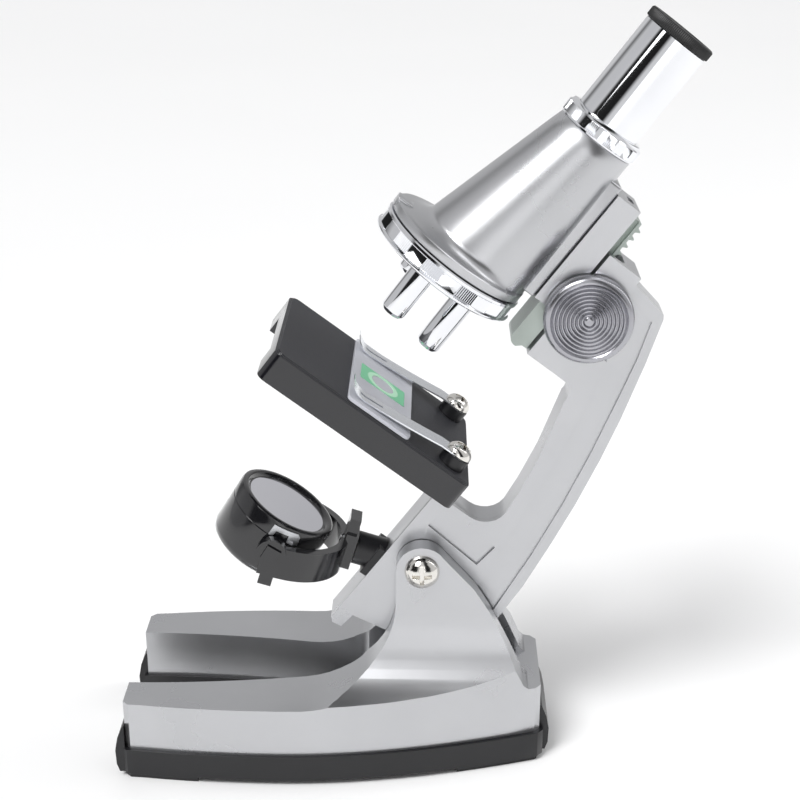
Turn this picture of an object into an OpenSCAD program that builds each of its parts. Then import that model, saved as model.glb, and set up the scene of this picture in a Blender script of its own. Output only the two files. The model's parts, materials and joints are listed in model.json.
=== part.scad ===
// Tilting student microscope on a horseshoe base.
// Origin: on the table, straight below the tilt axis. +X to the rear, +Y to the far side, +Z up.
// The tilting parts are drawn upright on the tilt axis and leaned back together, so their own
// X, Y and Z are called u, v and w here: w runs along the optical axis and u to the rear.

/* [Instrument] */
// Lean of the arm behind upright, in degrees
lean = 37; // [0:1:45]
// Height of the tilt axis above the table
pivot_h = 74; // [72:1:84]
// Optical axis in front of the tilt axis
axis_front = 47.2; // [44:0.2:50]

/* [Base] */
// Leg tips in front of the tilt axis
base_front = 105.5; // [95:0.5:120]
// Rear edge behind the tilt axis
base_rear = 43; // [41:0.5:48]
// Half width at the leg tips
tip_half = 32; // [29:0.5:36]
// Half width where the sides bulge most
bulge_half = 35.5; // [33:0.5:39]
// Half width at the rear edge
rear_half = 18; // [17.5:0.5:22]
// Half width of the gap between the leg tips
gap_half = 17.5; // [14:0.5:19]
// Radius of the inner end of the gap
gap_r = 9.3; // [7:0.1:11]
// Height of the black plinth
plinth_h = 11.8; // [11:0.2:14]
// Height of the tops of the legs
leg_h = 30; // [28:0.5:32]
// Wall of the casting and the plinth
base_wall = 2.5; // [2:0.1:3.5]
// Lip of the plinth beyond the casting
plinth_lip = 1.3; // [0.8:0.1:2.5]
// Height of the feet under the plinth
foot_h = 2; // [1:0.2:2.4]

/* [Hinge] */
// Half width over the two hinge cheeks
cheek_half = 13.5; // [12:0.1:16]
// Radius of the round top of each cheek
cheek_r = 9.2; // [8:0.1:11]
// Washer between the arm and each cheek
washer_t = 0.5; // [0.3:0.1:1]
// Diameter of the tilt screw
pivot_d = 6; // [5:0.1:7]
// Diameter of the head of the tilt screw
pivot_head_d = 12.4; // [11:0.1:14]

/* [Arm] */
// Thickness of the arm
arm_t = 12.6; // [11.6:0.1:13.4]
// Thickness of the near shell
cover_t = 2.2; // [2:0.1:2.6]
// Width of the focus housing
housing_t = 18.6; // [17.6:0.1:20]
// Depth of the panels sunk into the arm
panel_depth = 1; // [0.5:0.1:1.3]

/* [Stage] */
// Length of the stage
stage_l = 79.4; // [74:0.2:84]
// Width of the stage
stage_w = 58.6; // [54:0.2:64]
// Depth of the stage
stage_h = 11.2; // [10:0.2:13]
// Height of the stage top above the tilt axis
stage_top = 42; // [41:0.2:43]
// Hole in the stage on the optical axis
stage_hole_d = 14; // [10:0.5:16]
// Distance of each clip's middle from the side of the stage
clip_edge = 7.7; // [6.5:0.1:9]
// Width of the specimen slide
slide_w = 25; // [20:0.5:26]
// Length of the specimen slide
slide_l = 57; // [50:1:76]
// Thickness of the specimen slide
slide_t = 1.2; // [1:0.1:1.5]

/* [Focus] */
// Diameter of the focus knobs
knob_d = 30; // [26:0.5:34]
// Thickness of each focus knob
knob_t = 5.8; // [5:0.1:8]
// Diameter of the focus shaft
shaft_d = 4; // [3:0.1:4.4]
// Length of the sliding block
block_l = 43; // [40:0.5:46]
// Length of the rack that shows below the block
rack_tail = 17.8; // [14:0.2:18.6]

/* [Optics] */
// Outer diameter of the draw tube
tube_d = 23; // [21:0.1:24]
// Length of the draw tube that shows above the collar
tube_out = 33.4; // [28:0.2:36]
// Edge of the eyepiece cap beyond the tube
cap_edge = 0.6; // [0.6:0.1:1.5]
// Wall at the top of the body, outside the tube
body_wall = 2.3; // [2:0.1:3.4]
// Gap between the turret and the sliding block
turret_gap = 1.2; // [0.8:0.1:3]
// Edge of the turret beyond the flange above it
turret_edge = 1; // [0.5:0.1:1.5]
// Distance of the objectives from the turret centre
objective_circle_r = 12.4; // [11.5:0.1:13]
// Diameter of an objective barrel
objective_d = 8.8; // [8:0.1:9.6]
// Length of the long objective below the turret
long_l = 24.8; // [22:0.2:26]
// Length of the medium objective below the turret
medium_l = 19.4; // [16:0.2:21]
// Length of the short objective below the turret
short_l = 10.6; // [8:0.2:14]

/* [Lamp] */
// Diameter of the lamp drum
drum_d = 37.2; // [34:0.2:37.6]
// Depth of the lamp drum
drum_h = 22.6; // [20:0.2:23]
// Rim of the drum round the mirror
mirror_rim = 3.4; // [3:0.1:5]
// Tip of the drum away from the optical axis, in degrees
drum_tip = 5; // [0:1:15]

/* [Fits] */
// Radial clearance of turning fits
turn_fit = 0.05; // [0.03:0.01:0.1]
// Clearance of sliding faces
slide_fit = 0.3; // [0.2:0.05:0.4]
// Clearance between fixed pieces
part_gap = 0.1; // [0.05:0.05:0.2]

/* [Hidden] */
$fn = 64;

far = 400;
pinion_teeth = 8;
gear_module = 1;
clip_offset = stage_w / 2 - clip_edge;
paint = [0.78, 0.80, 0.83];
chrome = [0.90, 0.91, 0.93];
black = [0.10, 0.10, 0.11];

// ---- curves ----
// Point at t on the curve from a to c that heads for b
function bend(a, b, c, t) = (1 - t) * (1 - t) * a + 2 * t * (1 - t) * b + t * t * c;
// Curve from a to c that heads for b, in n steps, without its last point
function curve(a, b, c, n) = [for (i = [0 : n - 1]) bend(a, b, c, i / n)];
// Arc of radii rx and ry about c from angle a0 to a1, in n steps, with both ends
function arc(c, rx, ry, a0, a1, n) =
  [for (i = [0 : n]) let (a = a0 + (a1 - a0) * i / n) c + [rx * cos(a), ry * sin(a)]];
function mirrored(points) = [for (i = [len(points) - 1 : -1 : 0]) [points[i][0], -points[i][1]]];

// ---- base ----
widest_x = -50;
gap_x = -26;
edge_r = 2;
// Half of the horseshoe outline, pulled in by i, from the end of the gap round to the rear edge
function horseshoe_half(i) = concat(
  arc([gap_x, 0], gap_r + i, gap_r + i, 4, 90, 8),
  [for (k = [1 : 7]) bend([gap_x, gap_r + i], [-66, gap_half + i],
                          [-base_front + i, gap_half + i], k / 8)],
  [[-base_front + i, gap_half + i], [-base_front + i, tip_half - edge_r - i],
   [-base_front + edge_r + i, tip_half - i]],
  curve([-base_front + edge_r + 4 + i, tip_half + 0.3 - i], [-75, bulge_half - i],
        [widest_x, bulge_half - i], 6),
  curve([widest_x, bulge_half - i], [-10, bulge_half - i],
        [base_rear - edge_r - i, rear_half + 0.4 - i], 10),
  [[base_rear - edge_r - i, rear_half + 0.4 - i], [base_rear - i, rear_half - edge_r - i]]);
module horseshoe(inset) {
  half = horseshoe_half(inset);
  polygon(concat(half, mirrored(half)));
}

fork_half = arm_t / 2 + washer_t;
flare_r = 25;
flare_v = cheek_half + flare_r;
flare_w = leg_h + 26;
cheek_top = pivot_h + cheek_r;
front_u = -9.3;
// Side view of a cheek: the front sweeps down into the leg, the rear slopes to the ledge
module cheek_side_view() {
  sweep = -42;
  polygon(concat(
    [[sweep, leg_h - 3]],
    arc([sweep, leg_h + 30], front_u - sweep, 30, -90, 0, 12),
    arc([0, pivot_h], cheek_r, cheek_r, 180, 32, 10),
    [[18.8, leg_h + 36.5], [24.2, leg_h + 27.7], [28, leg_h + 20.2], [31.6, leg_h + 12.7],
     [34.5, leg_h + 6.2], [36.6, leg_h + 1.6], [38.4, leg_h], [38.4, leg_h - 3]]));
}
// End view of the far cheek: flat above, flaring out to the side wall below
module cheek_end_view() {
  polygon(concat(
    [[fork_half, leg_h - 3], [flare_v + 6, leg_h - 3], [flare_v + 6, flare_w - flare_r]],
    arc([flare_v, flare_w], flare_r, flare_r, -90, -180, 12),
    [[cheek_half, cheek_top + 5], [fork_half, cheek_top + 5]]));
}
module cheek() {
  intersection() {
    translate([0, far / 2, 0]) rotate([90, 0, 0]) linear_extrude(far) cheek_side_view();
    translate([-far / 2, 0, 0]) rotate([90, 0, 90]) linear_extrude(far) cheek_end_view();
    linear_extrude(far) horseshoe(0);
  }
}
slot_front = -14;
slot_rear = 35;
tail_r = 41;
slot_floor = min(leg_h - 4, pivot_h - tail_r - 2);
module base_casting() {
  color(paint) difference() {
    union() {
      difference() {
        translate([0, 0, plinth_h]) linear_extrude(leg_h - plinth_h) horseshoe(0);
        translate([0, 0, plinth_h - 1]) linear_extrude(leg_h - base_wall - plinth_h + 1)
          horseshoe(base_wall);
      }
      for (s = [0, 1]) mirror([0, s, 0]) cheek();
      translate([slot_front - 2, -fork_half - 2, slot_floor - 2.6])
        cube([slot_rear - slot_front + 4, 2 * fork_half + 4, 3]);
      for (p = base_screw_places) translate([p[0], p[1], plinth_h])
        cylinder(d = 6.4, h = leg_h - plinth_h - 1);
    }
    translate([slot_front, -fork_half, slot_floor])
      cube([slot_rear - slot_front, 2 * fork_half, leg_h]);
    translate([0, 0, pivot_h]) rotate([90, 0, 0])
      cylinder(d = pivot_d + 2 * turn_fit, h = far, center = true);
    for (p = base_screw_places) translate([p[0], p[1], plinth_h - 1])
      cylinder(d = screw_d + thread_gap, h = 10);
  }
}

screw_d = 3;
screw_head_d = 5.6;
thread_gap = 0.04;
base_screw_places = [for (p = [[9.5 - base_front, 25], [-52, 24], [-8, 25]], s = [1, -1]) [p[0], s * p[1]]];
plinth_floor = 2.2;
// Battery box
cell_d = 14.5;
cell_l = 50.5;
cell_v = cell_d / 2 + 0.4;
cell_rear = 38;
hatch_front = cell_rear - cell_l - 0.7;
hatch_screw = [5, -20.5];
hatch_half = cell_d + 1.4;
hatch_t = 1.6;
// Toe profile: the plinth rises against the end of the casting and flares at its foot
module toe(width) {
  rotate([90, 0, 0]) linear_extrude(width, center = true)
    polygon([[-0.1, foot_h], [2.4, foot_h], [3.4, foot_h + 3], [3.6, plinth_h - 1],
             [2.6, plinth_h + 4], [0.9, plinth_h + 8.4], [part_gap, plinth_h + 9],
             [part_gap, plinth_h - 1], [-0.1, plinth_h - 1]]);
}
module base_plinth() {
  tip_mid = (tip_half + gap_half) / 2;
  tip_w = tip_half - gap_half;
  color(black) difference() {
    union() {
      difference() {
        translate([0, 0, foot_h]) linear_extrude(plinth_h - foot_h) horseshoe(-plinth_lip);
        translate([0, 0, foot_h + plinth_floor]) linear_extrude(plinth_h) horseshoe(base_wall);
      }
      intersection() {
        linear_extrude(foot_h + 1) horseshoe(-plinth_lip + 0.8);
        union() {
          for (s = [-1, 1]) translate([-base_front - 5, s * 25 - 12, 0]) cube([31, 24, foot_h + 1]);
          for (s = [-1, 1]) translate([13, s * 26 - 8, 0]) cube([40, 16, foot_h + 1]);
        }
      }
      for (s = [-1, 1]) translate([-base_front, s * tip_mid, 0]) rotate([0, 0, 180]) toe(tip_w);
      translate([base_rear, 0, 0]) toe(2 * rear_half - 6);
      for (p = base_screw_places) translate([p[0], p[1], foot_h])
        cylinder(d = 8.4, h = plinth_h - foot_h - part_gap);
      translate([hatch_screw[0], hatch_screw[1], foot_h]) cylinder(d = 7, h = 8);
    }
    for (p = base_screw_places) translate([p[0], p[1], 0]) {
      cylinder(d = screw_d + 0.4, h = far, center = true);
      translate([0, 0, -1]) cylinder(d = screw_head_d + 0.6, h = foot_h + 4);
    }
    translate([hatch_front, -hatch_half, foot_h - 1])
      cube([cell_rear + 1.5 - hatch_front, 2 * hatch_half, far]);
    translate([hatch_screw[0], hatch_screw[1], 0]) cylinder(d = screw_d + thread_gap, h = 9);
    translate([hatch_screw[0] - 5, hatch_screw[1] - 4, foot_h - 1]) cube([10, 9, hatch_t + 1 + part_gap]);
  }
}
module battery_cover() {
  color(black) difference() {
    union() {
      translate([hatch_front + slide_fit, -hatch_half + slide_fit, foot_h])
        cube([cell_rear + 1.5 - hatch_front - 2 * slide_fit, 2 * (hatch_half - slide_fit), hatch_t]);
      translate([hatch_screw[0] - 4.7, hatch_screw[1] - 3.7, foot_h]) cube([9.4, 9, hatch_t]);
    }
    translate([hatch_screw[0], hatch_screw[1], 0]) cylinder(d = screw_d + 0.4, h = 6);
    for (i = [0 : 4]) translate([8 + 3 * i, -8, foot_h - 1]) cube([1.4, 16, 1.5]);
  }
}
module battery_cover_screw() {
  color(chrome) translate([hatch_screw[0], hatch_screw[1], foot_h])
    cross_screw(screw_head_d, 1.3, screw_d, 5 + hatch_t, true);
}
cell_z = foot_h + hatch_t + 0.4 + cell_d / 2;
module aa_cells() {
  for (s = [-1, 1]) translate([cell_rear, s * cell_v, cell_z]) rotate([0, -90 * s, 0])
    translate([0, 0, s > 0 ? 0 : -cell_l]) {
      color("steelblue") rotate_extrude()
        polygon([[0, 0.4], [cell_d / 2 - 1, 0], [cell_d / 2, 0.8], [cell_d / 2, cell_l - 2.4],
                 [cell_d / 2 - 1, cell_l - 1.4], [2.75, cell_l - 1.4], [2.75, cell_l], [0, cell_l]]);
    }
}
module battery_contacts() {
  for (s = [-1, 1]) color(chrome) {
    translate([cell_rear + 0.5, s * cell_v - 5, cell_z - 6]) cube([0.6, 10, 12]);
    translate([cell_rear - cell_l - 1.2, s * cell_v - 5, cell_z - 6]) cube([0.6, 10, 12]);
  }
}
module base_screws() {
  for (p = base_screw_places) color(chrome) translate([p[0], p[1], foot_h + 3])
    cross_screw(screw_head_d, 1.6, screw_d, 14, true);
}

// Cross-slot screw along +Z: the head is below z = 0 when up is true, its shank above
module cross_screw(head_d, head_h, shank_d, length, up) {
  mirror([0, 0, up ? 0 : 1]) difference() {
    union() {
      rotate_extrude() polygon(concat([[0, 0]],
        [for (a = [90 : -15 : 0]) [head_d / 2 * cos(a), -head_h * sin(a)]]));
      translate([0, 0, -0.2]) cylinder(d = shank_d, h = length + 0.2);
    }
    for (a = [0, 90]) rotate([0, 0, a])
      translate([-head_d * 0.28, -head_d * 0.06, -head_h - 1])
        cube([head_d * 0.56, head_d * 0.12, 1 + head_h * 0.6]);
  }
}

module pivot_screw() {
  color(chrome) translate([0, -cheek_half, pivot_h]) rotate([-90, 0, 0])
    cross_screw(pivot_head_d, 4.6, pivot_d, 2 * cheek_half + 3, true);
}
module pivot_nut() {
  color(chrome) translate([0, cheek_half + part_gap, pivot_h]) rotate([-90, 0, 0]) difference() {
    cylinder(d = 11, h = 4, $fn = 6);
    translate([0, 0, -1]) cylinder(d = pivot_d + 0.04, h = 6);
  }
}
module hinge_washers() {
  for (s = [0, 1]) color("white") mirror([0, s, 0]) translate([0, arm_t / 2 + 0.05, pivot_h])
    rotate([-90, 0, 0]) difference() {
      cylinder(d = 14, h = washer_t - 0.1);
      translate([0, 0, -1]) cylinder(d = pivot_d + 0.3, h = 3);
    }
}

// ---- arm ----
module leaning() { translate([0, 0, pivot_h]) rotate([0, lean, 0]) children(); }
// Plate of thickness t in the u-w plane, from v0 towards the far side
module plate(v0, t) { translate([0, v0 + t, 0]) rotate([90, 0, 0]) linear_extrude(t) children(); }

stage_bottom = stage_top - stage_h;
shelf_top = stage_bottom - part_gap;
inner_bend = arc([2.4, 33], 9, 8.6, -90, 0, 6);
outer_back = [[8.6, 121.3], [14.2, 105.2], [20.5, 84.7], [24.6, 69], [28.7, 50.5], [31.7, 33], [34.4, 14]];
module arm_outline() {
  polygon(concat(
    [[-12.6, -37.9], [-11, -39.2], [-7.4, -38.8], [-6.8, -32.5], [7.2, -29.9], [28, -26], [34, -14],
     [35.4, -2]],
    [for (i = [len(outer_back) - 1 : -1 : 0]) outer_back[i]],
    [[7.6, 122.6], [-7.3, 125.2], [-7.3, 84.2], [-4.2, 84.2]],
    arc([-4.2, 79], 5.4, 5.2, 90, -8, 6),
    [[7.2, 57.5], [10.1, 43]],
    [for (i = [len(inner_bend) - 1 : -1 : 0]) inner_bend[i]],
    [[-6, 24.4], [-9.6, shelf_top], [-34, shelf_top], [-34, shelf_top - 4.4], [-12.6, 22]]));
}
housing_u0 = -20.6;
housing_u1 = -7.3;
housing_w0 = 85;
housing_w1 = 128.1;
shaft_u = -13.2;
shaft_w = 107.7;
pitch_r = pinion_teeth * gear_module / 2;
block_u0 = -31.1;
block_u1 = -21.8;
// T-slot in the housing for the rail of the rack
rail_neck = 3.9;
rail_head = 5.5;
module rail_slot() {
  translate([housing_u0 - 1, -rail_neck - slide_fit, housing_w0 - 1])
    cube([8, 2 * (rail_neck + slide_fit), housing_w1 - housing_w0 + 2]);
  translate([housing_u0 + 1.2, -rail_head - slide_fit, housing_w0 - 1])
    cube([5, 2 * (rail_head + slide_fit), housing_w1 - housing_w0 + 2]);
}
arm_screw_places = [[1.5, 112], [15.2, 72], [22.5, 26], [-2, -22]];
split_v = -arm_t / 2 + cover_t;
module arm_holes() {
  rotate([90, 0, 0]) cylinder(d = pivot_d + 2 * turn_fit, h = far, center = true);
  rail_slot();
  // Slot that holds the spigot of the lamp bracket
  translate([-13, -spigot_half - part_gap / 2, spigot_w - 3 - part_gap / 2])
    cube([13 - 7.9, 2 * spigot_half + part_gap, 6 + part_gap]);
  // Pinion chamber
  translate([shaft_u, 0, shaft_w]) rotate([90, 0, 0]) cylinder(r = pitch_r + 1.6, h = 12, center = true);
  translate([shaft_u, 0, shaft_w]) rotate([90, 0, 0]) cylinder(d = bush_d, h = far, center = true);
}
bush_d = 7;
spigot_half = 3;
spigot_w = -11;
arm_seat = arm_t / 2 - 3;
module arm_body() {
  difference() {
    union() {
      plate(-arm_t / 2, arm_t) arm_outline();
      translate([housing_u0, -housing_t / 2, housing_w0])
        cube([housing_u1 - housing_u0, housing_t, housing_w1 - housing_w0]);
    }
    arm_holes();
  }
}
module sunk_panels() {
  polygon([[-7.2, 12.8], [16, 10.9], [16.9, 20.4], [-6.8, 22.1]]);
  polygon([[3.4, 98.3], [7.7, 84.2], [12.5, 62.1], [15.8, 41.5], [19.1, 23.3], [21.8, 2.6],
           [32.2, -1.3], [31.4, 5.2], [29.1, 25], [25.2, 48], [20.7, 68.4], [14.6, 91.8],
           [10.9, 105], [6.2, 118.2], [-5, 120.4], [-5, 98.3]]);
}
module far_side(v0) { translate([-far / 2, v0, -far / 2]) cube([far, far, far]); }
module arm_far_shell() {
  color(paint) leaning() difference() {
    intersection() {
      arm_body();
      far_side(split_v + part_gap / 2);
    }
    // Hollow of the limb and of the foot, with screw posts left standing
    difference() {
      union() {
        plate(split_v - 1, arm_t - cover_t - 1.4)
          polygon([[-4, 118], [6, 117], [11.4, 104], [17.9, 82], [22, 67], [26, 49], [29, 31],
                   [31.4, 12], [32, -4], [20, -6], [15, 14], [14.4, 32], [12.6, 45],
                   [9.6, 59], [5.2, 76], [3.6, 84.4], [-4, 88]]);
        plate(split_v - 1, arm_t - cover_t - 1.4)
          polygon([[-9, -17], [-9, -34], [-4, -28], [24, -22.6], [30, -12], [31, -8], [8, -12]]);
      }
      for (p = arm_screw_places) translate([p[0], 0, p[1]]) rotate([90, 0, 0])
        cylinder(d = 8, h = far, center = true);
    }
    for (p = arm_screw_places) translate([p[0], 0, p[1]]) {
      rotate([90, 0, 0]) cylinder(d = screw_d + 0.2, h = far, center = true);
      translate([0, arm_seat, 0]) rotate([-90, 0, 0]) cylinder(d = screw_head_d + 0.4, h = 4);
    }
    for (u = stage_screw_us) translate([u, 0, 0]) {
      cylinder(d = screw_d + 0.2, h = far);
      translate([0, 0, shelf_top - 12]) cylinder(d = screw_head_d + 0.4, h = 12 - 2.6);
    }
    plate(arm_t / 2 - panel_depth, panel_depth + 1) sunk_panels();
  }
}
module arm_near_shell() {
  color(paint) leaning() difference() {
    intersection() {
      arm_body();
      translate([0, -far, 0]) far_side(split_v - part_gap / 2);
    }
    plate(-arm_t / 2 - 1, panel_depth + 1) sunk_panels();
    for (p = arm_screw_places) translate([p[0], split_v - 1.1, p[1]]) rotate([-90, 0, 0])
      cylinder(d = screw_d - 0.6 + thread_gap, h = 3);
  }
}
module arm_screws() {
  for (p = arm_screw_places) color(chrome) leaning() translate([p[0], arm_seat, p[1]])
    rotate([90, 0, 0]) cross_screw(screw_head_d, 1.5, screw_d - 0.6, arm_seat - split_v + 1, true);
}
bush_flange = 0.6;
module pinion_bushes() {
  for (s = [0, 1]) color(black) leaning() mirror([0, s, 0])
    translate([shaft_u, 6.1, shaft_w]) rotate([-90, 0, 0]) difference() {
      union() {
        cylinder(d = bush_d - 2 * 0.02, h = housing_t / 2 - 6.1 + 0.2);
        translate([0, 0, housing_t / 2 - 6.1 + part_gap / 2]) cylinder(d = bush_d + 2, h = bush_flange);
      }
      translate([0, 0, -1]) cylinder(d = shaft_d + 2 * turn_fit, h = 10);
    }
}

// ---- stage ----
stage_u1 = -11.5;
stage_u0 = stage_u1 - stage_l;
stage_screw_us = [-17.5, -29.5];
stage_top_t = 2.6;
stage_wall = 2.4;
module stage_plan(inset) {
  r = 3;
  u0 = stage_u0 + inset;
  u1 = stage_u1 - inset;
  v = stage_w / 2 - inset;
  polygon(concat(arc([u1 - r, v - r], r, r, 0, 90, 5), arc([u0 + r, v - r], r, r, 90, 180, 5),
                 arc([u0 + r, r - v], r, r, 180, 270, 5), arc([u1 - r, r - v], r, r, 270, 360, 5)));
}
clip_u = -20;
module stage() {
  color(black) leaning() difference() {
    union() {
      difference() {
        union() {
          translate([0, 0, stage_bottom]) linear_extrude(stage_h - 0.8) stage_plan(0);
          translate([0, 0, stage_top - 0.9]) linear_extrude(0.5) stage_plan(0.4);
          translate([0, 0, stage_top - 0.5]) linear_extrude(0.5) stage_plan(0.8);
        }
        translate([0, 0, stage_bottom - 1]) linear_extrude(stage_h - stage_top_t + 1)
          stage_plan(stage_wall);
      }
      // Bosses for the stage screws and the clip screws
      for (u = stage_screw_us) translate([u, 0, stage_bottom]) cylinder(d = 8, h = stage_h - 1);
      for (s = [-1, 1]) translate([clip_u, s * clip_offset, stage_bottom + 1])
        cylinder(d = 8, h = stage_h - 2);
      // Ribs under the top
      for (s = [-1, 1]) translate([stage_u0 + 1, s * 12 - 0.7, stage_top - 6]) cube([stage_l - 2, 1.4, 4]);
    }
    translate([-axis_front, 0, 0]) cylinder(d = stage_hole_d, h = far);
    // Notch in the middle of the front wall
    translate([stage_u0 - 1, -15, stage_bottom - 1]) cube([stage_wall + 2, 30, stage_h - 4.7]);
    for (u = stage_screw_us) translate([u, 0, stage_bottom - 1])
      cylinder(d = screw_d - 0.4 + thread_gap, h = 9);
    for (s = [-1, 1]) translate([clip_u, s * clip_offset, stage_bottom])
      cylinder(d = screw_d + thread_gap, h = far);
  }
}
module stage_screws() {
  for (u = stage_screw_us) color(chrome) leaning() translate([u, 0, shelf_top - 2.6])
    cross_screw(screw_head_d, 1.4, screw_d - 0.4, 9, true);
}
spacer_d = 9.6;
spacer_h = 4.2;
clip_t = 0.5;
clip_w = 7.4;
clip_seat = stage_top + spacer_h;
module clip_spacers() {
  for (s = [-1, 1]) color(black) leaning() translate([clip_u, s * clip_offset, stage_top])
    difference() {
      cylinder(d = spacer_d, h = spacer_h);
      translate([0, 0, -1]) cylinder(d = screw_d + thread_gap, h = 9);
    }
}
module clip_screw(s) {
  color(chrome) leaning() translate([clip_u, s * clip_offset, clip_seat + clip_t + 2 * 0.05])
    cross_screw(spacer_d - 0.2, 3.4, screw_d, 11, false);
}
module near_clip_screw() clip_screw(-1);
module far_clip_screw() clip_screw(1);
// Spring clip: flat at the screw, bowed down to the slide, tip turned up, slot by the tip
slide_top = stage_top + 0.1 + slide_t;
function clip_line(t) = concat(
  [[6, clip_seat + 0.05 + t], [-7, clip_seat + 0.05 + t]],
  [for (i = [1 : 5]) bend([-7, clip_seat + 0.05 + t], [-22, slide_top + 1 + t],
                          [-37, slide_top + 0.15 + t], i / 5)],
  [[-40, slide_top + 0.6 + t], [-42.6, slide_top + 2.2 + t], [-44, slide_top + 4 + t]]);
module clip(s) {
  lower = clip_line(0);
  upper = clip_line(clip_t);
  color(chrome) leaning() translate([clip_u, s * clip_offset, 0]) difference() {
    intersection() {
      plate(-clip_w / 2, clip_w)
        polygon(concat(lower, [for (i = [len(upper) - 1 : -1 : 0]) upper[i]]));
      translate([0, 0, stage_top - 1]) linear_extrude(20) polygon(concat(
        arc([0, 0], clip_w / 2, clip_w / 2, -90, 90, 8),
        [[-40, clip_w / 2], [-44.5, clip_w / 2 - 1.4], [-44.5, 1.4 - clip_w / 2], [-40, -clip_w / 2]]));
    }
    cylinder(d = screw_d + 2 * turn_fit, h = far);
    translate([-39, -0.6, 0]) cube([9, 1.2, far]);
  }
}
module near_clip() clip(-1);
module far_clip() clip(1);
module specimen_slide() {
  color("aliceblue", 0.6) leaning() translate([-axis_front - 3, 0, stage_top + 0.1])
    linear_extrude(slide_t) rounded(slide_w, slide_l, 2);
}
module rounded(a, b, r) {
  x = a / 2 - r;
  y = b / 2 - r;
  polygon(concat(arc([x, y], r, r, 0, 90, 4), arc([-x, y], r, r, 90, 180, 4),
                 arc([-x, -y], r, r, 180, 270, 4), arc([x, -y], r, r, 270, 360, 4)));
}
label_t = 0.12;
module specimen_label() {
  color("mediumseagreen") leaning() translate([-axis_front - 3, 1, slide_top]) difference() {
    linear_extrude(label_t) rounded(slide_w - 6.6, 13, 0.4);
    translate([0, 0, -1]) cylinder(d = 9.2, h = 3);
  }
}

// ---- focus carriage ----
block_w1 = 145;
block_w0 = block_w1 - block_l;
block_half = 9.1;
core_half = 7;
core_u0 = -28.3;
module slide_block() {
  color(paint) leaning() difference() {
    translate([block_u0, -block_half, block_w0]) cube([block_u1 - block_u0, 2 * block_half, block_l]);
    // Channel for the rack, open to the rear and at the lower end
    translate([core_u0 - part_gap, -core_half - part_gap, block_w0 - 1])
      cube([8, 2 * (core_half + part_gap), block_l - 2]);
    for (w = block_screw_ws) translate([block_u0 - 1, 0, w]) rotate([0, 90, 0])
      cylinder(d = screw_d, h = 20);
    translate([block_u1 - 4.2, -3, block_w1 - 1.2]) cube([2.4, 6, 2]);
  }
}
block_screw_ws = [112, 134];
block_screw_l = 10.6;
rack_w0 = block_w0 - rack_tail;
rack_w1 = block_w1 - 3.2;
pitch_u = shaft_u - pitch_r;
tooth_pitch = PI * gear_module;
module focus_rack() {
  color([0.80, 0.86, 0.80]) leaning() difference() {
    union() {
      plate(-core_half, 2 * core_half) polygon(concat(
        arc([core_u0 + 2.8, rack_w0 + 2.8], 2.8, 2.8, 180, 270, 5),
        [[core_u0 + 3.4, rack_w0], [core_u0 + 5, rack_w0 + 1.5], [block_u1 + 0.4, rack_w0 + 1.5],
         [block_u1 + 0.4, rack_w1], [core_u0, rack_w1]]));
      translate([block_u1, -rail_neck, rack_w0 + 1]) cube([2.8, 2 * rail_neck, rack_w1 - rack_w0 - 1]);
      translate([housing_u0 + 1.2 + slide_fit, -rail_head, rack_w0 + 1])
        cube([pitch_u - 0.9 - housing_u0 - 1.2 - slide_fit, 2 * rail_head, rack_w1 - rack_w0 - 1]);
      // Teeth
      plate(-rail_head + 1, 2 * rail_head - 2) for (i = [-7 : 10])
        translate([pitch_u, shaft_w + i * tooth_pitch])
          polygon([[-1, -1.15], [-1, 1.15], [0, 0.56], [0.75, 0.26], [0.75, -0.26], [0, -0.56]]
                  * gear_module);
    }
    for (w = block_screw_ws) translate([core_u0 - 1, 0, w]) rotate([0, 90, 0])
      cylinder(d = screw_d - 0.6 + thread_gap, h = 6.4);
  }
}
module slide_screws() {
  for (w = block_screw_ws) color(chrome) leaning() translate([block_u0 - 3.6, 0, w]) rotate([0, 90, 0])
    cylinder(d = screw_d - 0.6, h = block_screw_l);
}

// ---- optical body ----
turret_u = -axis_front - objective_circle_r;
turret_d = 2 * (block_u0 - turret_gap - turret_u);
flange_d = turret_d - 2 * turret_edge;
turret_w0 = 89;
turret_w1 = 96.4;
flange_w0 = turret_w1 + slide_fit;
flange_w1 = flange_w0 + 3.4;
body_top = 154.7;
bore_r = tube_d / 2 + turn_fit + 0.05;
body_top_d = 2 * (bore_r + body_wall);
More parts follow.
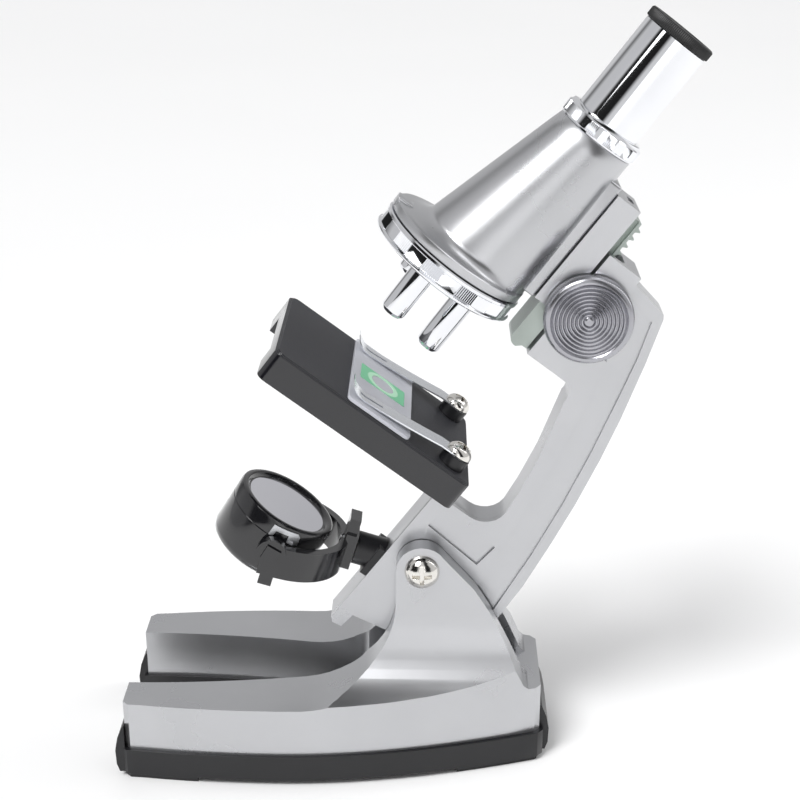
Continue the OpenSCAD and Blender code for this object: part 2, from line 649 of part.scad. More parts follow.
// Sections of the body from the top to the flange: centre, radius and height
body_rings = [[-axis_front, body_top_d / 2, body_top - 0.2], [-axis_front - 6.8, 20.7, 104.2],
              [-axis_front - 8.1, 22, 102.4], [-axis_front - 10, 23.8, 101.1],
              [turret_u, flange_d / 2 - 0.5, flange_w1 - 0.1]];
module body_skin() {
  for (i = [0 : 3]) hull() for (ring = [body_rings[i], body_rings[i + 1]])
    translate([ring[0], 0, ring[2]]) cylinder(r = ring[1], h = 0.2, $fn = 48);
}
neck_half = 8;
neck_w0 = 101.4;
module optical_body() {
  color(paint) leaning() difference() {
    union() {
      body_skin();
      translate([turret_u, 0, flange_w0]) cylinder(d = flange_d, h = flange_w1 - flange_w0);
      // Neck that carries the body on the sliding block
      translate([5.2 - axis_front, -neck_half, neck_w0])
        cube([axis_front - 5.2 + block_u0 - part_gap, 2 * neck_half, 46]);
      // Lug over the detent
      translate([turret_u - flange_d / 2 - 0.4, -3.6, flange_w0 + 0.6]) cube([6, 7.2, 3.6]);
    }
    translate([-axis_front, 0, 106]) cylinder(r = bore_r, h = far);
    translate([-axis_front, 0, flange_w0 - 1]) cylinder(d = 9, h = 20);
    translate([turret_u, 0, flange_w0 - 1]) cylinder(d = 4 + thread_gap, h = 8);
    for (w = block_screw_ws) translate([block_u0 - 4, 0, w]) rotate([0, 90, 0])
      cylinder(d = screw_d - 0.6 + thread_gap, h = 8);
    translate([turret_u - flange_d / 2 + 2.4, -2.1, flange_w0 - 1]) cube([5, 4.2, 3.2]);
  }
}
module turret_detent() {
  color(chrome) leaning() translate([turret_u - flange_d / 2 + 2.6, -2, flange_w0 + 0.2]) {
    cube([4.4, 4, 1.2]);
  }
}
module turret_screw() {
  color(chrome) leaning() translate([turret_u, 0, turret_w0 - 0.4])
    cross_screw(9, 1.8, 4, turret_w1 - turret_w0 + 6, true);
}
collar_h = 5.8;
collar_d = body_top_d + 1.2;
module tube_collar() {
  color(chrome) leaning() translate([-axis_front, 0, body_top + 0.05]) difference() {
    union() {
      cylinder(d = collar_d, h = collar_h - 1);
      cylinder(d = collar_d - 1.4, h = collar_h);
    }
    translate([0, 0, -1]) cylinder(r = bore_r, h = far);
  }
}
// ---- draw tube ----
tube_w0 = 137;
tube_w1 = body_top + 0.05 + collar_h + tube_out;
module draw_tube() {
  color(chrome) leaning() translate([-axis_front, 0, tube_w0]) difference() {
    cylinder(d = tube_d, h = tube_w1 - tube_w0);
    translate([0, 0, 3]) cylinder(d = tube_d - 2.4, h = far);
    translate([0, 0, -1]) cylinder(d = tube_d - 6, h = far);
  }
}
module field_lens() {
  color("lightcyan", 0.7) leaning() translate([-axis_front, 0, tube_w0 + 3.05])
    lens(tube_d - 2.6, 3);
}
// Plano-convex lens with its flat side down
module lens(d, h) {
  bulge = h - 1;
  ball_r = (d * d / 4 + bulge * bulge) / (2 * bulge);
  rotate_extrude() polygon(concat([[0, 0], [d / 2, 0]],
    [for (i = [0 : 9]) let (r = d / 2 * (1 - i / 9)) [r, h - ball_r + sqrt(ball_r * ball_r - r * r)]]));
}
cap_h = 3.5;
module eyepiece_cap() {
  color(black) leaning() translate([-axis_front, 0, tube_w1 + 0.05]) difference() {
    union() {
      cylinder(d = tube_d + 2 * cap_edge, h = cap_h);
      translate([0, 0, -5]) cylinder(d = tube_d - 2.5, h = 6);
    }
    translate([0, 0, -6]) cylinder(d = 14, h = far);
    translate([0, 0, cap_h - 1.2]) cylinder(d1 = 14, d2 = 18, h = 1.21);
  }
}
module eye_lens() {
  color("lightcyan", 0.7) leaning() translate([-axis_front, 0, tube_w1 - 3]) lens(13.9, 2.6);
}

// ---- turret ----
module turret_disc() {
  color(chrome) leaning() translate([turret_u, 0, turret_w0]) difference() {
    union() {
      cylinder(d = turret_d, h = 1.4);
      cylinder(d = turret_d - 1.6, h = turret_w1 - turret_w0);
      translate([0, 0, turret_w1 - turret_w0 - 1.4]) cylinder(d = turret_d - 0.8, h = 1.4);
    }
    translate([0, 0, 3.4]) cylinder(d = turret_d - 8, h = far);
    translate([0, 0, -1]) cylinder(d = 4 + 2 * turn_fit, h = far);
    for (a = [0, 120, 240]) rotate([0, 0, a])
      translate([objective_circle_r, 0, -1]) cylinder(d = objective_d - 1.6, h = far);
  }
}
module objective(angle, length) {
  color(chrome) leaning() translate([turret_u, 0, turret_w0]) rotate([0, 0, angle])
    translate([objective_circle_r, 0, 0]) difference() {
      union() {
        translate([0, 0, -length]) cylinder(d1 = objective_d - 0.8, d2 = objective_d, h = 1);
        translate([0, 0, 1 - length]) cylinder(d = objective_d, h = length - 1 - part_gap);
        translate([0, 0, -part_gap - 0.2]) cylinder(d = objective_d - 1.68, h = 3.4 + part_gap);
      }
      translate([0, 0, -length - 1]) cylinder(d = 3.2, h = far);
      translate([0, 0, -length + 3]) cylinder(d = 5.6, h = far);
    }
}
module long_objective() objective(0, long_l);
module medium_objective() objective(-120, medium_l);
module short_objective() objective(120, short_l);
module objective_lenses() {
  for (p = [[0, long_l], [-120, medium_l], [120, short_l]]) color("lightcyan", 0.7)
    leaning() translate([turret_u, 0, turret_w0]) rotate([0, 0, p[0]])
      translate([objective_circle_r, 0, 0.6 - p[1]]) cylinder(d = 3.16, h = 1.6);
}

// ---- focus drive ----
knob_gap = 1.1;
knob_v = housing_t / 2 + knob_gap;
shaft_half = knob_v + knob_t - 1.2;
module pinion_shaft() {
  color(chrome) leaning() translate([shaft_u, 0, shaft_w]) {
    rotate([90, 0, 0]) cylinder(d = shaft_d, h = 2 * shaft_half, center = true);
    rotate([90, 0, 0]) linear_extrude(8.4, center = true) rotate(tooth_turn) pinion_profile();
  }
}
tooth_turn = 180 / pinion_teeth;
module pinion_profile() {
  circle(r = pitch_r - 1.15 * gear_module);
  for (i = [0 : pinion_teeth - 1]) rotate(i * 360 / pinion_teeth)
    polygon([[2, -0.95], [pitch_r - 1.1, -0.8], [pitch_r, -0.55], [pitch_r + 0.7, -0.22],
             [pitch_r + 0.7, 0.22], [pitch_r, 0.55], [pitch_r - 1.1, 0.8], [2, 0.95]]);
}
module knob(s) {
  r = knob_d / 2;
  ridges = 7;
  first = 2.4;
  step = (r * 0.84 - first) / ridges;
  color([0.42, 0.42, 0.45]) leaning() mirror([0, s < 0 ? 1 : 0, 0])
    translate([shaft_u, knob_v, shaft_w]) rotate([-90, 0, 0]) difference() {
      rotate_extrude() polygon(concat(
        [[0, 0], [r - 0.6, 0], [r, 0.6], [r, knob_t - 1.4], [r - 0.8, knob_t - 0.6],
         [r * 0.86, knob_t - 0.2]],
        [for (i = [ridges - 1 : -1 : 0]) for (k = [0, 1])
          [first + (i + 1 - k * 0.5) * step, knob_t - (k == 0 ? 0.7 : 0)]],
        [[first, knob_t - 0.7], [first - 0.8, knob_t], [0, knob_t]]));
      translate([0, 0, -1]) cylinder(d = shaft_d + 0.02, h = shaft_half - knob_v + 1.1);
    }
}
module near_knob() knob(-1);
module far_knob() knob(1);

// ---- lamp and mirror ----
stem_turn = -19.6;
yoke_in = drum_d / 2 + 1.3;
yoke_shift = 3.6;
// The stem of the bracket ends here; the axis on which the drum turns lies stub_x away from it
stub_end = [-20.9, -12.3];
stub_x = yoke_shift + yoke_in + 5.7;
lamp_u = stub_end[0] - stub_x * cos(stem_turn);
lamp_w = stub_end[1] + stub_x * sin(stem_turn);
// Middle of the drum from that axis
drum_off = [-1, 0, -1.3];
module lamp_place() { leaning() translate([lamp_u, 0, lamp_w]) rotate([0, stem_turn, 0]) children(); }
module drum_axis() { leaning() translate([lamp_u, 0, lamp_w]) rotate([0, -drum_tip, 0]) children(); }
module drum_place() { drum_axis() translate(drum_off) children(); }
yoke_t = 3;
band_h = 11.6;
band_z = -2.9;
stub_d = 12;
module lamp_bracket() {
  color(black) difference() {
    union() {
      leaning() translate([-15.2, -6, -17]) cube([2.5, 12, 12.2]);
      leaning() translate([-14, -spigot_half, spigot_w - 3]) cube([6, 2 * spigot_half, 6]);
      difference() {
        lamp_place() translate([stub_x, 0, 0]) rotate([0, 90, 0]) cylinder(d = stub_d, h = 12);
        leaning() translate([-12.7, -10, -30]) cube([30, 20, 50]);
      }
    }
    lamp_place() translate([20, 0, 0]) rotate([0, 90, 0]) cylinder(d = 3 + thread_gap, h = 16.4);
  }
}
stud_d = 5;
screw_seat = yoke_shift + yoke_in + 0.9;
module lamp_yoke() {
  color(black) lamp_place() difference() {
    union() {
      // Half ring and straight ends round the drum
      translate([yoke_shift, 0, band_z]) difference() {
        cylinder(r = yoke_in + yoke_t, h = band_h, center = true);
        cylinder(r = yoke_in, h = band_h + 2, center = true);
        translate([-far, -far / 2, -far / 2]) cube([far, far, far]);
      }
      for (s = [0, 1]) mirror([0, s, 0]) {
        translate([-3, yoke_in, band_z - band_h / 2]) cube([yoke_shift + 3.1, yoke_t, band_h]);
        translate([0, yoke_in, 0]) rotate([-90, 0, 0]) cylinder(d = 10.4, h = yoke_t + 0.6);
      }
      translate([yoke_shift + yoke_in + 1, -5.5, band_z - 4])
        cube([stub_x - slide_fit - yoke_shift - yoke_in - 1, 11, 10.4 - band_z]);
      // Finger block on top of the middle
      translate([yoke_shift + yoke_in + 0.6, -4.2, band_z + 2]) cube([4, 8.4, 13]);
      // Thumb tab
      translate([-1.6, -yoke_in - yoke_t, -12.4]) cube([4.8, 2.4, 8]);
    }
    rotate([90, 0, 0]) cylinder(d = stud_d + 2 * turn_fit, h = far, center = true);
    rotate([0, 90, 0]) cylinder(d = 3 + 2 * turn_fit, h = far);
    translate([yoke_shift, 0, 0]) rotate([0, 90, 0]) cylinder(d = 6.6, h = screw_seat - yoke_shift);
  }
}
module yoke_screw() {
  color(chrome) lamp_place() translate([screw_seat - 0.05, 0, 0]) rotate([0, 90, 0])
    cross_screw(6, 1.1, 3, 11, true);
}
drum_split = 5;
shell_t = 2.4;
lens_d = drum_d - 13.2;
mirror_d = drum_d - 2 * mirror_rim;
module stud_bores() {
  translate(-drum_off) rotate([90, 0, 0]) cylinder(d = stud_d + thread_gap, h = far, center = true);
}
module mirror_housing() {
  color(black) drum_place() difference() {
    translate([0, 0, drum_split + part_gap / 2])
      cylinder(d = drum_d, h = drum_h / 2 - drum_split - part_gap / 2);
    translate([0, 0, drum_h / 2 - 3]) cylinder(d = mirror_d + 0.3, h = 10);
    translate([0, 0, -1]) cylinder(d = drum_d - 2 * shell_t, h = drum_h / 2 - 3.6);
    // Slot for the tab of the contact
    translate([contact_tab - 0.1, -far / 2, 5.9]) cube([2.2, far / 2, 1]);
  }
}
module lamp_housing() {
  color(black) drum_place() difference() {
    translate([0, 0, -drum_h / 2]) rotate_extrude()
      polygon(concat([[0, 0], [drum_d / 2 - 3, 0]], arc([drum_d / 2 - 3, 3], 3, 3, -75, 0, 5),
                     [[drum_d / 2, drum_h / 2 + drum_split - part_gap / 2],
                      [0, drum_h / 2 + drum_split - part_gap / 2]]));
    translate([0, 0, -drum_h / 2 - 1]) cylinder(d = lens_d + 0.2, h = 6);
    translate([0, 0, shell_t - drum_h / 2]) cylinder(d = drum_d - 2 * shell_t, h = drum_h);
    stud_bores();
  }
}
module mirror_glass() {
  color(chrome) drum_place() translate([0, 0, drum_h / 2 - 2.95]) cylinder(d = mirror_d, h = 1.6);
}
module lamp_lens() {
  color("white", 0.7) drum_place() translate([0, 0, 0.3 - drum_h / 2]) {
    cylinder(d = lens_d, h = 3);
    translate([0, 0, shell_t - 0.25]) cylinder(d = drum_d - 2 * shell_t - 0.4, h = 1.2);
  }
}
module lamp_holder() {
  color("ivory") drum_place() translate([0, 0, 2.8]) difference() {
    cylinder(r = stud_in - 0.3, h = 1.4);
    translate([0, 0, -1]) cylinder(d = 9.1, h = 4);
  }
}
module lamp_bulb() {
  color("lightyellow", 0.8) drum_place() {
    translate([0, 0, 0.4]) cylinder(d = 9, h = 4.6);
    translate([0, 0, -2.4]) cylinder(d = 5, h = 3);
    translate([0, 0, -2.4]) sphere(d = 5);
  }
}
contact_tab = 4.2;
// Bent spring clip on the near side of the drum, with a tab through the wall
module lamp_contacts() {
  color(chrome) drum_place() {
    intersection() {
      difference() {
        cylinder(r = drum_d / 2 + 0.6, h = 20);
        translate([0, 0, -1]) cylinder(r = drum_d / 2 + 0.1, h = 30);
      }
      plate(-far / 2, far / 2)
        polygon([[-3, 5.5], [-2.8, 9.8], [6.2, 10.4], [7.4, 9.3], [8, 6.4], [7, 5.5], [4, 5.5],
                 [3.6, 8.4], [-1.2, 8], [-1.4, 5.5]]);
    }
    translate([contact_tab, 0.4 - drum_d / 2 - 0.8, 6]) cube([2, 3.4, 0.8]);
  }
}
// Each stud is held by a flange inside the drum and ends in a square outside the yoke
stud_in = drum_d / 2 - shell_t - 1.6;
stud_out = yoke_in + yoke_t + 0.7;
module drum_studs() {
  for (s = [0, 1]) color(black) drum_axis() mirror([0, s, 0]) {
    translate([0, stud_in, 0]) rotate([-90, 0, 0]) cylinder(d = stud_d, h = stud_out - stud_in + 0.1);
    translate([0, stud_in, 0]) rotate([-90, 0, 0]) cylinder(d = stud_d + 2, h = 0.7);
    translate([-2.7, stud_out, -2.7]) cube([5.4, 0.7, 5.4]);
  }
}

base_casting();
base_plinth();
battery_cover();
battery_cover_screw();
aa_cells();
battery_contacts();
base_screws();
pivot_screw();
pivot_nut();
hinge_washers();
arm_far_shell();
arm_near_shell();
arm_screws();
pinion_bushes();
stage();
stage_screws();
clip_spacers();
near_clip_screw();
far_clip_screw();
lamp_bracket();
near_clip();
far_clip();
specimen_slide();
specimen_label();
optical_body();
slide_block();
slide_screws();
focus_rack();
tube_collar();
turret_detent();
turret_screw();
turret_disc();
long_objective();
medium_objective();
short_objective();
objective_lenses();
draw_tube();
eyepiece_cap();
eye_lens();
field_lens();
pinion_shaft();
near_knob();
far_knob();
lamp_yoke();
yoke_screw();
mirror_housing();
lamp_housing();
mirror_glass();
lamp_lens();
lamp_holder();
lamp_bulb();
lamp_contacts();
drum_studs();
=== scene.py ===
import json
import math

import bmesh
import bpy
from mathutils import Matrix, Vector


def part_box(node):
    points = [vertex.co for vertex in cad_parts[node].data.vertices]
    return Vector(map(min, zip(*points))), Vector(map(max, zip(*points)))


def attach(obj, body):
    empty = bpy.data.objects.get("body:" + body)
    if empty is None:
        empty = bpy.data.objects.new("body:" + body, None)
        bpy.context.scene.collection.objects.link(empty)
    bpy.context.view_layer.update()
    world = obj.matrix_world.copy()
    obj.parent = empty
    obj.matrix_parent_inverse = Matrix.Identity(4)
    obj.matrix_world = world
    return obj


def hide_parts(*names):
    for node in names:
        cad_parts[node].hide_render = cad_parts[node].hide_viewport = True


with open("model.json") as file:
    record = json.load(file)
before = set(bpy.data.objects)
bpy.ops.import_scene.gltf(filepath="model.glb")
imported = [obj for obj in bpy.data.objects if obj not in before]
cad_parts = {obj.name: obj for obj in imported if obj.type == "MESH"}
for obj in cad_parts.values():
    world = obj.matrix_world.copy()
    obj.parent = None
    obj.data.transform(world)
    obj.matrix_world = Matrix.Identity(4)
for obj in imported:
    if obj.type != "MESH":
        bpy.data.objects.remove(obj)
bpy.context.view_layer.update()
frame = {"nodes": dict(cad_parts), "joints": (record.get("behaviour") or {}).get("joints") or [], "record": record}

# ---- frame of the tilting parts ----
# They are upright in their own frame, in millimetres from the tilt axis: w runs up the optical
# axis, v to the far side and u to the rear.
MM = 0.001
JOINTS = {joint["name"]: joint for joint in frame["joints"]}
W_AXIS = Vector(JOINTS["focus_slide"]["axis"]).normalized()
V_AXIS = Vector((0, 1, 0))
U_AXIS = V_AXIS.cross(W_AXIS)
PIVOT = Vector(JOINTS["arm_tilt"]["pos_m"])
LEANING = (Matrix.Translation(PIVOT)
           @ Matrix((U_AXIS, V_AXIS, W_AXIS)).transposed().to_4x4()
           @ Matrix.Scale(MM, 4))
DRUM_TIP = math.radians(5)
TURN = 2 * math.pi


def span(node, place=LEANING):
    """Lowest and highest corner of a CAD node in a local frame, in millimetres."""
    inverse = place.inverted()
    points = [inverse @ v.co for v in frame["nodes"][node].data.vertices]
    return (Vector([min(p[i] for p in points) for i in range(3)]),
            Vector([max(p[i] for p in points) for i in range(3)]))


def local(point, place=LEANING):
    return place.inverted() @ Vector(point)


# ---- shader groups ----
def new_group(name, inputs, outputs):
    group = bpy.data.node_groups.new(name, "ShaderNodeTree")
    for label, value in inputs:
        socket = group.interface.new_socket(label, in_out="INPUT", socket_type="NodeSocketFloat")
        socket.default_value = value
    for label in outputs:
        group.interface.new_socket(label, in_out="OUTPUT", socket_type="NodeSocketFloat")
    return group, group.nodes.new("NodeGroupInput"), group.nodes.new("NodeGroupOutput")


def noise(tree, coordinates, detail):
    node = tree.nodes.new("ShaderNodeTexNoise")
    node.inputs["Detail"].default_value = detail
    tree.links.new(coordinates.outputs["Object"], node.inputs["Vector"])
    return node


def make_grain_group():
    """Fine grain and soft mottling, both from object coordinates in metres."""
    group, given, result = new_group(
        "surface_grain", [("Grain Scale", 3000), ("Mottle Scale", 60)], ["Height", "Mottle"])
    coordinates = group.nodes.new("ShaderNodeTexCoord")
    grain = noise(group, coordinates, 2)
    mottle = noise(group, coordinates, 4)
    group.links.new(given.outputs["Grain Scale"], grain.inputs["Scale"])
    group.links.new(given.outputs["Mottle Scale"], mottle.inputs["Scale"])
    group.links.new(grain.outputs["Fac"], result.inputs["Height"])
    group.links.new(mottle.outputs["Fac"], result.inputs["Mottle"])
    return group


GRAIN = make_grain_group()


def finish_material(name, dark, light, metallic, rough, grain_scale=3000, bump=0.1,
                    mottle_scale=60, depth=0.00004, coat=0.0, alpha=1.0):
    """A surface whose colour and roughness drift with the mottling and whose grain is bumped."""
    material = bpy.data.materials.new(name)
    material.use_nodes = True
    tree = material.node_tree
    shader = tree.nodes["Principled BSDF"]
    grain = tree.nodes.new("ShaderNodeGroup")
    grain.node_tree = GRAIN
    grain.inputs["Grain Scale"].default_value = grain_scale
    grain.inputs["Mottle Scale"].default_value = mottle_scale
    colour = tree.nodes.new("ShaderNodeMix")
    colour.data_type = "RGBA"
    colour.inputs[6].default_value = (*dark, 1)
    colour.inputs[7].default_value = (*light, 1)
    tree.links.new(grain.outputs["Mottle"], colour.inputs[0])
    tree.links.new(colour.outputs[2], shader.inputs["Base Color"])
    spread = tree.nodes.new("ShaderNodeMapRange")
    spread.inputs["To Min"].default_value = rough[0]
    spread.inputs["To Max"].default_value = rough[1]
    tree.links.new(grain.outputs["Mottle"], spread.inputs["Value"])
    tree.links.new(spread.outputs["Result"], shader.inputs["Roughness"])
    relief = tree.nodes.new("ShaderNodeBump")
    relief.inputs["Strength"].default_value = bump
    relief.inputs["Distance"].default_value = depth
    tree.links.new(grain.outputs["Height"], relief.inputs["Height"])
    tree.links.new(relief.outputs["Normal"], shader.inputs["Normal"])
    shader.inputs["Metallic"].default_value = metallic
    shader.inputs["Coat Weight"].default_value = coat
    shader.inputs["Coat Roughness"].default_value = 0.08
    if alpha < 1:
        shader.inputs["Alpha"].default_value = alpha
    return material


def glass_material(name, tint, rough, alpha=1.0):
    material = finish_material(name, tint, tint, 0, rough, 400, 0.02, alpha=alpha)
    shader = material.node_tree.nodes["Principled BSDF"]
    shader.inputs["Transmission Weight"].default_value = 1 if alpha == 1 else 0
    shader.inputs["IOR"].default_value = 1.5
    return material


MATERIALS = {
    "casting": finish_material("casting", (0.50, 0.505, 0.52), (0.58, 0.585, 0.60), 0.92,
                               (0.24, 0.33), 5200, 0.25, 40, 0.00003),
    "plinth": finish_material("plinth", (0.005, 0.005, 0.006), (0.010, 0.010, 0.012), 0,
                              (0.28, 0.40), 2600, 0.2, 50),
    "stage_black": finish_material("stage_black", (0.006, 0.006, 0.008), (0.012, 0.012, 0.015), 0,
                                   (0.10, 0.18), 900, 0.03, 30, coat=0.5),
    "stage_top": finish_material("stage_top", (0.016, 0.0165, 0.020), (0.036, 0.037, 0.044), 0,
                                 (0.45, 0.62), 1500, 0.9, 900, 0.0001),
    "lamp_black": finish_material("lamp_black", (0.006, 0.006, 0.007), (0.012, 0.012, 0.014), 0,
                                  (0.09, 0.2), 700, 0.03, 45, coat=0.6),
    "cap_black": finish_material("cap_black", (0.008, 0.008, 0.008), (0.02, 0.02, 0.021), 0,
                                 (0.35, 0.5), 2400, 0.15),
    "chrome": finish_material("chrome", (0.80, 0.81, 0.84), (0.92, 0.93, 0.95), 1,
                              (0.03, 0.09), 600, 0.012, 45),
    "screw_steel": finish_material("screw_steel", (0.70, 0.68, 0.64), (0.86, 0.84, 0.80), 1,
                                   (0.08, 0.16), 1500, 0.03, 200),
    "zinc_steel": finish_material("zinc_steel", (0.52, 0.53, 0.55), (0.68, 0.69, 0.71), 1,
                                  (0.25, 0.4), 2500, 0.1, 150),
    "spring_steel": finish_material("spring_steel", (0.72, 0.74, 0.78), (0.88, 0.90, 0.93), 0.9,
                                    (0.14, 0.26), 1800, 0.05, 70),
    "knob": finish_material("knob", (0.36, 0.36, 0.39), (0.47, 0.47, 0.50), 0.9,
                            (0.18, 0.27), 2600, 0.05, 90, coat=0.3),
    "rack_plastic": finish_material("rack_plastic", (0.44, 0.50, 0.46), (0.56, 0.62, 0.58), 0,
                                    (0.32, 0.42), 1500, 0.08, 80),
    "washer_plastic": finish_material("washer_plastic", (0.72, 0.72, 0.69), (0.80, 0.80, 0.77), 0,
                                      (0.4, 0.5), 1500, 0.08),
    "slide_glass": glass_material("slide_glass", (0.72, 0.73, 0.79), (0.16, 0.24), 0.7),
    "lens_glass": glass_material("lens_glass", (0.90, 0.95, 0.97), (0.01, 0.03)),
    "lamp_frost": finish_material("lamp_frost", (0.80, 0.80, 0.77), (0.88, 0.88, 0.85), 0,
                                  (0.35, 0.5), 900, 0.2),
    "mirror": finish_material("mirror", (0.80, 0.80, 0.86), (0.88, 0.88, 0.92), 1,
                              (0.04, 0.10), 500, 0.01, 30),
    "cell_wrap": finish_material("cell_wrap", (0.04, 0.10, 0.20), (0.06, 0.14, 0.26), 0,
                                 (0.2, 0.3), 900, 0.04),
}


def make_label_material():
    """Printed film: green, with a paler round mark in the middle."""
    material = finish_material("label", (0.16, 0.56, 0.30), (0.22, 0.64, 0.36), 0,
                               (0.3, 0.4), 1200, 0.05)
    tree = material.node_tree
    shader = tree.nodes["Principled BSDF"]
    coordinates = tree.nodes.new("ShaderNodeTexCoord")
    low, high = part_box("specimen_label")
    reach = tree.nodes.new("ShaderNodeVectorMath")
    reach.operation = "DISTANCE"
    reach.inputs[1].default_value = (low + high) / 2
    tree.links.new(coordinates.outputs["Object"], reach.inputs[0])
    ring = tree.nodes.new("ShaderNodeValToRGB")
    stops = ring.color_ramp.elements
    stops[0].position, stops[0].color = 0.44, (0.45, 0.80, 0.55, 1)
    stops[1].position, stops[1].color = 0.50, (0.50, 0.85, 0.60, 1)
    for place, colour in ((0.62, (0.50, 0.85, 0.60, 1)), (0.66, (0.18, 0.60, 0.33, 1))):
        stops.new(place).color = colour
    scale = tree.nodes.new("ShaderNodeMath")
    scale.operation = "MULTIPLY"
    scale.inputs[1].default_value = 100
    tree.links.new(reach.outputs["Value"], scale.inputs[0])
    tree.links.new(scale.outputs[0], ring.inputs["Fac"])
    tree.links.new(ring.outputs["Color"], shader.inputs["Base Color"])
    return material


MATERIALS["label"] = make_label_material()
SLOT_OF = {part["node"]: part["material_slot"] for part in frame["record"]["subparts"]}
BODY_OF = {node: body for body, nodes in frame["record"]["behaviour"]["bodies"].items()
           for node in nodes}
for node, part in frame["nodes"].items():
    part.data.materials.clear()
    part.data.materials.append(MATERIALS[SLOT_OF[node]])


# ---- pieces ----
def add_piece(name, bm, node, smooth_angle=32, place=None, recalc=True, hides=None):
    """Turns a bmesh into a piece that rides with a CAD node's body and takes its finish."""
    if recalc:
        bmesh.ops.remove_doubles(bm, verts=bm.verts, dist=0.00001)
        bmesh.ops.recalc_face_normals(bm, faces=bm.faces)
    if place is not None:
        bmesh.ops.transform(bm, matrix=place, verts=bm.verts)
    mesh = bpy.data.meshes.new(name)
    bm.to_mesh(mesh)
    bm.free()
    mesh.shade_smooth()
    mesh.set_sharp_from_angle(angle=math.radians(smooth_angle))
    mesh.materials.append(MATERIALS[SLOT_OF[node]])
    piece = bpy.data.objects.new(name, mesh)
    bpy.context.scene.collection.objects.link(piece)
    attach(piece, BODY_OF[node])
    if hides:
        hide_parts(*hides)
    return piece


def softened(node, width, segments=2, angle=30):
    """A copy of a CAD node with its triangles joined and its edges rounded."""
    bm = bmesh.new()
    bm.from_mesh(frame["nodes"][node].data)
    bmesh.ops.remove_doubles(bm, verts=bm.verts, dist=0.000002)
    bmesh.ops.dissolve_limit(bm, angle_limit=math.radians(0.6), verts=bm.verts, edges=bm.edges)
    piece = add_piece(node + "_soft", bm, node, angle, recalc=False, hides=[node])
    if width:
        edge = piece.modifiers.new("edges", "BEVEL")
        edge.width = width * MM
        edge.segments = segments
        edge.limit_method = "ANGLE"
        edge.angle_limit = math.radians(angle)
        edge.harden_normals = True
    return piece


def lathe(profile, steps=96, closed=True):
    """Spins a profile of (radius, height) points, in millimetres, about the local Z axis."""
    bm = bmesh.new()
    corners = [bm.verts.new((r, 0, z)) for r, z in profile]
    edges = [bm.edges.new(pair) for pair in zip(corners, corners[1:])]
    if closed:
        edges.append(bm.edges.new((corners[-1], corners[0])))
    bmesh.ops.spin(bm, geom=corners + edges, axis=(0, 0, 1), cent=(0, 0, 0), angle=TURN,
                   steps=steps, use_merge=True)
    bmesh.ops.remove_doubles(bm, verts=bm.verts, dist=0.001)
    bmesh.ops.recalc_face_normals(bm, faces=bm.faces)
    return bm


def knurl(bm, inner_r, low, high, teeth, depth, smooth_patches=0):
    """Pushes every second row of a lathed rim inward; patches may stay smooth."""
    for v in bm.verts:
        r = math.hypot(v.co.x, v.co.y)
        if r < inner_r or not low <= v.co.z <= high:
            continue
        turn = math.atan2(v.co.y, v.co.x) % TURN / TURN
        if smooth_patches and int(turn * smooth_patches * 2) % 2:
            continue
        if round(turn * teeth * 2) % 2:
            v.co.x *= (r - depth) / r
            v.co.y *= (r - depth) / r


def at(u, w, v=0.0, turn=0.0):
    """Frame on the optical side whose Z axis is w."""
    return LEANING @ Matrix.Translation((u, v, w)) @ Matrix.Rotation(turn, 4, "Z")


# ---- castings, plinth and stage ----
for node, width in (("base_casting", 0.7), ("arm_far_shell", 0.45), ("arm_near_shell", 0.45),
                    ("slide_block", 0.35), ("base_plinth", 0.5), ("lamp_bracket", 0.3),
                    ("lamp_yoke", 0.4), ("focus_rack", 0.15), ("near_clip", 0.0),
                    ("far_clip", 0.0), ("specimen_slide", 0.15), ("pivot_screw", 0.12),
                    ("near_clip_screw", 0.1), ("far_clip_screw", 0.1), ("clip_spacers", 0.15),
                    ("drum_studs", 0.15), ("pinion_bushes", 0.1), ("battery_cover", 0.2),
                    ("pivot_nut", 0.2)):
    softened(node, width)

stage = softened("stage", 0.3)
stage.data.materials.append(MATERIALS["stage_top"])
for face in stage.data.polygons:
    if face.normal.dot(W_AXIS) > 0.95:
        face.material_index = 1

# ---- optical tube ----
tube_low, tube_high = span("draw_tube")
AXIS_U = (tube_low.x + tube_high.x) / 2
TUBE_R = (tube_high.y - tube_low.y) / 2


def tube_piece():
    inner = TUBE_R - 1.2
    top = tube_high.z
    profile = [(TUBE_R, tube_low.z), (TUBE_R, top - 0.3), (TUBE_R - 0.3, top), (inner, top),
               (inner, tube_low.z)]
    add_piece("draw_tube_wall", lathe(profile, 128), "draw_tube", place=at(AXIS_U, 0),
              hides=["draw_tube"])


def cap_piece():
    low, high = span("eyepiece_cap")
    r = (high.y - low.y) / 2
    top = high.z
    rim = tube_high.z + 0.05
    profile = [(r - 0.25, rim), (r, rim + 0.25), (r, top - 0.6), (r - 0.5, top - 0.1),
               (r - 1.2, top), (9.2, top), (8.8, top - 0.3), (7, top - 1.6), (7, low.z),
               (TUBE_R - 1.3, low.z), (TUBE_R - 1.3, rim)]
    bm = lathe(profile, 240)
    knurl(bm, r - 0.1, rim + 0.1, top - 0.3, 120, 0.28)
    add_piece("eyepiece_cap_rim", bm, "eyepiece_cap", 40, place=at(AXIS_U, 0),
              hides=["eyepiece_cap"])


